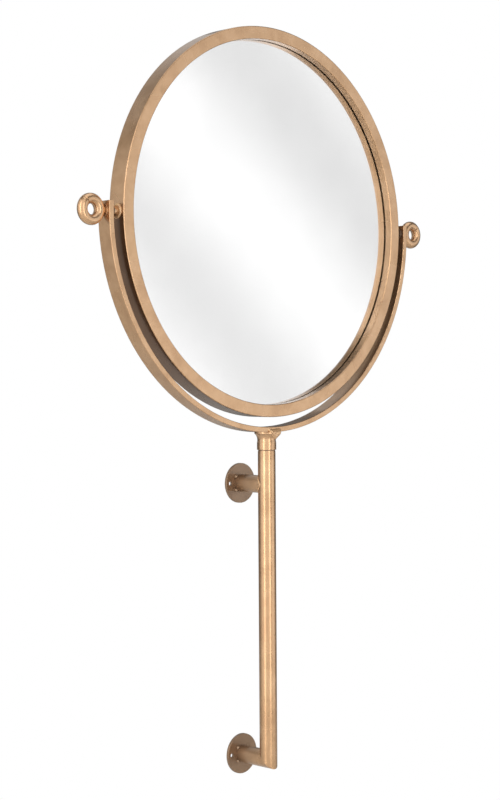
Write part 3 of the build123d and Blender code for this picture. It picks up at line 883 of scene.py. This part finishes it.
def build_eyes():
    """Ring screws: a rod bent into a ring, and its turned shank."""
    sizes = settings()[0]
    slit, slit_angle = 0.25 * MM, math.radians(50)
    foot_edge, sunk, cone = 0.6 * MM, 0.25 * MM, 2.2 * MM
    for side, sign in (("left", -1), ("right", 1)):
        low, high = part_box(side + "_eye_screw")
        outer = max(abs(low.x), abs(high.x))
        inner = min(abs(low.x), abs(high.x))
        half = (high.z - low.z) / 2
        ring_r = half - EYE_WIRE_R
        carrier = linked("carrier", bpy.data.meshes.new("carrier"))
        gap = slit / ring_r
        ring = from_nodes(carrier, bent_ring, {
            "Steps": 220, "Ring radius": ring_r, "Wire radius": EYE_WIRE_R, "Start": slit_angle + gap / 2,
            "Sweep": 2 * math.pi - gap, "End rounding": sizes.rod_end_round,
            "Material": MATERIALS["antique_gold_lacquer"]})
        ring.transform(Matrix.Rotation(math.radians(90), 4, "X"))
        ring.transform(Matrix.Translation((outer - half, 0, 0)))
        neck, end = outer - 2 * half + sunk, outer - half - ring_r
        outline = [(0, inner, 0), (EYE_SHANK_R, inner, foot_edge), (EYE_SHANK_R, neck, 0),
                   (EYE_SHOULDER_R, neck + cone, 0), (EYE_SHOULDER_R, end, 0), (0, end, 0)]
        shank = lathe(rounded(outline), Vector(), 64)
        shank.transform(Matrix.Rotation(math.radians(-90), 4, "Z"))
        shank.materials.append(MATERIALS["antique_gold_lacquer"])
        mesh = joined([ring, shank])
        if sign < 0:
            mesh.transform(Matrix.Scale(-1, 4, (1, 0, 0)))
            mesh.flip_normals()
        mesh.transform(Matrix.Translation(PIVOT))
        show(mesh, side + "_ring_screw", "antique_gold_lacquer", side + "_eye_screw")


def build_stem():
    """The lifting stem: tube, plug, glide, swivel washer and the head screw."""
    dress("stem_tube", "stem_plug", "stem_glide", "swivel_washer", "head_screw")


def clear_bore(mesh):
    """Keep the bead's root inside the post's wall, so that the lifting stem's glide passes it."""
    spare = 0.1 * MM
    least = POST_R - POST_WALL + spare
    for vertex in mesh.vertices:
        out = Vector((vertex.co.x, vertex.co.y - POST_Y))
        if out.length < least:
            out = out.normalized() * least
            vertex.co.x, vertex.co.y = out.x, POST_Y + out.y


def build_post():
    """Post and arms, the bead where the upper arm meets the post, the bush and the lock screw."""
    sizes = settings()[0]
    dress("post_tube", "lower_arm", "upper_arm", "post_guide_bush", "height_lock_screw")
    steps, soft, forward, inward = 180, 3.0 * MM, 1.0 * MM, 0.5 * MM
    points = []
    for k in range(steps):
        angle = 2 * math.pi * k / steps
        x, z = ARM_R * math.cos(angle), ARM_R * math.sin(angle)
        saddle = math.hypot(z, soft) - forward
        points.append(Vector((x, POST_Y + saddle, UPPER_Z + z)) - Vector((x, 0, z)).normalized() * inward)
    mesh = lay_bead(points, sizes.arm_bead, seed=7)
    clear_bore(mesh)
    show(mesh, "upper_arm_bead", "weld_lacquer", "upper_arm_weld", sharp_deg=60.0)


def build_plates():
    """Wall plates and the tack welds that hold the arms to them."""
    dress("lower_wall_plate", "upper_wall_plate")
    for level in ("lower", "upper"):
        lumpy(level + "_plate_tacks", level + "_tack_beads", "weld_lacquer")


# ---------------------------------------------------------------- studio
def aim_camera(stage):
    """The camera stands at the left, a little above level, and looks below the tilt axis."""
    a, e, r = stage.azimuth, stage.elevation, stage.roll
    back = Vector((math.sin(a) * math.cos(e), -math.cos(a) * math.cos(e), math.sin(e)))
    right = Vector((math.cos(a), math.sin(a), 0))
    up = back.cross(right)
    turned_right = right * math.cos(r) + up * math.sin(r)
    turned_up = up * math.cos(r) - right * math.sin(r)
    aim = PIVOT + Vector((stage.aim_side * math.cos(a), stage.aim_side * math.sin(a), stage.aim_up))
    data = bpy.data.cameras.new("camera")
    data.lens = stage.lens
    data.sensor_width = 36.0
    data.shift_x, data.shift_y = stage.shift_x, stage.shift_y
    camera = linked("camera", data)
    axes = Matrix((turned_right, turned_up, back)).transposed().to_4x4()
    camera.matrix_world = Matrix.Translation(aim + back * stage.distance) @ axes
    bpy.context.scene.camera = camera


# Softboxes: name, brightness setting, degrees round and up (0, 0 is straight in front), metres
# away, wide and tall, and colour.
SOFTBOXES = (
    ("key", "key_light", -8, 4, 2.3, 0.6, 2.0, "#FFFAF2"),
    ("glint", "glint_light", -79, 6, 2.1, 0.5, 2.2, "#FFFAF2"),
    ("fill_near", "fill_light", -46, 18, 2.2, 2.9, 3.2, "#FFFDFA"),
    ("fill_far", "fill_light", -104, 18, 2.2, 2.1, 3.2, "#FFFDFA"),
    ("fill_right", "side_light", 34, -11, 2.3, 2.0, 0.7, "#FFFDFA"),
    ("rim", "rim_light", -136, 8, 2.2, 0.6, 2.4, "#FFFFFF"),
    ("behind", "back_light", 172, 26, 2.4, 2.4, 2.0, "#FFFFFF"),
    ("top", "top_light", 20, 78, 1.9, 2.0, 1.6, "#FFFFFF"),
)
# The white panel that the mirror faces: its size and place in metres, and its slanting bands.
PANEL_AZIMUTH = math.radians(45)
PANEL_AWAY, PANEL_WIDE, PANEL_TALL, PANEL_FOOT = 2.1, 2.0, 1.35, -0.34
PANEL_SLANT_SIDE, PANEL_SLANT_UP = 0.783, 0.621
PANEL_PERIOD, PANEL_PHASE, PANEL_TILT = 0.45, -0.2, -0.13
FLOOR_SIZE = 30.0


def softbox(name, azimuth_deg, elevation_deg, distance, width, height, colour, brightness):
    """An area light that faces the middle of the object."""
    data = bpy.data.lights.new(name, "AREA")
    data.shape = "RECTANGLE"
    data.size, data.size_y = width, height
    data.energy = brightness * math.pi * width * height
    data.color = linear(colour)
    light = linked(name, data)
    a, e = math.radians(azimuth_deg), math.radians(elevation_deg)
    away = Vector((math.sin(a) * math.cos(e), -math.cos(a) * math.cos(e), math.sin(e)))
    centre = (CAD_BOX[0] + CAD_BOX[1]) / 2
    turn = away.to_track_quat("Z", "Y").to_matrix().to_4x4()
    light.matrix_world = Matrix.Translation(centre + away * distance) @ turn
    light.visible_camera = False


def plane(name, place, width, height, material):
    """A flat sheet of the studio."""
    mesh = bpy.data.meshes.new(name)
    halves = ((-0.5, -0.5), (0.5, -0.5), (0.5, 0.5), (-0.5, 0.5))
    corners = [place @ Vector((x * width, y * height, 0)) for x, y in halves]
    mesh.from_pydata([c[:] for c in corners], [], [(0, 1, 2, 3)])
    mesh.materials.append(material)
    made = linked(name, mesh)
    return made


def panel_material(stage, right):
    """A white paper panel, lit unevenly: broad soft bands run across it on the slant."""
    material, tree, place = new_material("studio_panel_paper")
    slant = right * PANEL_SLANT_SIDE + Vector((0, 0, PANEL_SLANT_UP))
    dot = add(tree, "ShaderNodeVectorMath", {0: place, 1: slant}, operation="DOT_PRODUCT")
    turn = add(tree, "ShaderNodeMath", {
        0: dot.outputs["Value"], 1: 2 * math.pi / PANEL_PERIOD, 2: PANEL_PHASE}, operation="MULTIPLY_ADD")
    wave = add(tree, "ShaderNodeMath", {0: turn}, operation="COSINE")
    tilt = add(tree, "ShaderNodeMath", {0: dot.outputs["Value"], 1: PANEL_TILT, 2: stage.panel},
               operation="MULTIPLY_ADD")
    bright = add(tree, "ShaderNodeMath", {0: wave, 1: stage.panel_band / 2, 2: tilt},
                 operation="MULTIPLY_ADD")
    glow = add(tree, "ShaderNodeEmission", {"Strength": bright})
    add(tree, "ShaderNodeOutputMaterial", {"Surface": glow})
    return material


def floor_material():
    """A pale painted floor, slightly uneven."""
    material, tree, place = new_material("studio_floor_paint")
    cloud = add(tree, "ShaderNodeTexNoise", {"Vector": place, "Scale": 1.5, "Detail": 2.0})
    colour = add(tree, "ShaderNodeValToRGB", {"Fac": cloud}, stops=[
        (0.3, linear("#E6E4E0")), (0.7, linear("#EFEDEA"))])
    paint = add(tree, "ShaderNodeBsdfPrincipled", {"Base Color": colour, "Roughness": 0.8})
    white = add(tree, "ShaderNodeEmission", {"Strength": 1.0})
    seen = add(tree, "ShaderNodeLightPath").outputs["Is Camera Ray"]
    both = add(tree, "ShaderNodeMixShader", {0: seen, 1: paint, 2: white})
    add(tree, "ShaderNodeOutputMaterial", {"Surface": both})
    return material


def light_world(stage):
    """White behind the object, and a softer grey room for its reflections."""
    world = bpy.data.worlds.new("studio")
    bpy.context.scene.world = world
    world.use_nodes = True
    tree = world.node_tree
    tree.nodes.clear()
    way = add(tree, "ShaderNodeTexCoord").outputs["Generated"]
    height = add(tree, "ShaderNodeSeparateXYZ", {"Vector": way}).outputs["Z"]
    tone = add(tree, "ShaderNodeMapRange", stretch(height, 0.75 * stage.room, 1.5 * stage.room, -0.6, 0.9))
    room = add(tree, "ShaderNodeBackground", {"Color": opaque(linear("#FFFDFA")), "Strength": tone})
    backdrop = add(tree, "ShaderNodeBackground", {"Color": opaque(linear("#FFFFFF")), "Strength": 1.0})
    seen = add(tree, "ShaderNodeLightPath").outputs["Is Camera Ray"]
    both = add(tree, "ShaderNodeMixShader", {0: seen, 1: room, 2: backdrop})
    add(tree, "ShaderNodeOutputWorld", {"Surface": both})


def build_studio():
    """Camera, white room, softboxes, the panel that the mirror faces, and a pale floor."""
    stage = settings()[2]
    aim_camera(stage)
    light_world(stage)
    for name, brightness, *place_and_colour in SOFTBOXES:
        softbox(name, *place_and_colour, getattr(stage, brightness))
    floor_z = LOWER_Z - stage.floor_drop
    plane("floor", Matrix.Translation((0, 0, floor_z)), FLOOR_SIZE, FLOOR_SIZE, floor_material())
    right = Vector((math.cos(PANEL_AZIMUTH), math.sin(PANEL_AZIMUTH), 0))
    away = Vector((math.sin(PANEL_AZIMUTH), -math.cos(PANEL_AZIMUTH), 0))
    up = Vector((0, 0, 1))
    axes = Matrix((right, up, right.cross(up))).transposed().to_4x4()
    centre = PIVOT + away * PANEL_AWAY + up * (PANEL_FOOT + PANEL_TALL / 2)
    panel = plane("white_panel", Matrix.Translation(centre) @ axes, PANEL_WIDE, PANEL_TALL,
                  panel_material(stage, right))
    panel.visible_camera = False
    bpy.context.scene.view_settings.view_transform = "Standard"


# ---------------------------------------------------------------- operators
class BuildPiece:
    """Shared by every operator: runs its builder."""
    bl_options = {"REGISTER", "UNDO"}

    def execute(self, context):
        type(self).builder()
        return {"FINISHED"}


def operator(name, label, doc, builder):
    """An operator class round one builder."""
    body = {"bl_idname": "mirror." + name, "bl_label": label, "__doc__": doc,
            "builder": staticmethod(builder)}
    return type("MIRROR_OT_" + name, (BuildPiece, bpy.types.Operator), body)


OPERATORS = [
    operator("studio", "Studio", "Set up the camera, floor and lights", build_studio),
    operator("frame_ring", "Frame ring", "Build the mirror's rolled frame", build_frame_ring),
    operator("pane", "Pane", "Build the glass, silver and foam", build_pane),
    operator("backing", "Backing", "Build the back board's clips and screws", build_backing),
    operator("head", "Yoke and collar", "Finish the yoke, the collar and their welds", build_head),
    operator("pivots", "Tilt pivots", "Build the pivots' beads and finish their pieces", build_pivots),
    operator("eyes", "Ring screws", "Build the two ring screws", build_eyes),
    operator("stem", "Stem", "Finish the lifting stem", build_stem),
    operator("post", "Post and arms", "Finish the post and arms and build their bead", build_post),
    operator("plates", "Wall plates", "Finish the wall plates and build their tacks", build_plates),
]


class MIRROR_PT_panel(bpy.types.Panel):
    """Lists the steps that build the mirror."""
    bl_label = "Wall mirror"
    bl_space_type = "VIEW_3D"
    bl_region_type = "UI"
    bl_category = "Mirror"

    def draw(self, context):
        for kind in OPERATORS:
            self.layout.operator(kind.bl_idname)
        for group in settings():
            for key in group.__annotations__:
                self.layout.prop(group, key)


GROUPS = {"mirror_sizes": MirrorSizes, "mirror_finish": MirrorFinish, "mirror_stage": MirrorStage}


def register():
    for kind in (*GROUPS.values(), *OPERATORS, MIRROR_PT_panel):
        bpy.utils.register_class(kind)
    for key, group in GROUPS.items():
        setattr(bpy.types.Scene, key, PointerProperty(type=group))


def unregister():
    for key in GROUPS:
        delattr(bpy.types.Scene, key)
    for kind in (MIRROR_PT_panel, *reversed(OPERATORS), *reversed(GROUPS.values())):
        bpy.utils.unregister_class(kind)


def main():
    """Register the add-on, build every piece and the stage, and write the sizes."""
    register()
    MATERIALS.update(make_materials())
    for kind in OPERATORS:
        getattr(bpy.ops.mirror, kind.bl_idname.split(".")[1])()


if __name__ == "__main__":
    main()
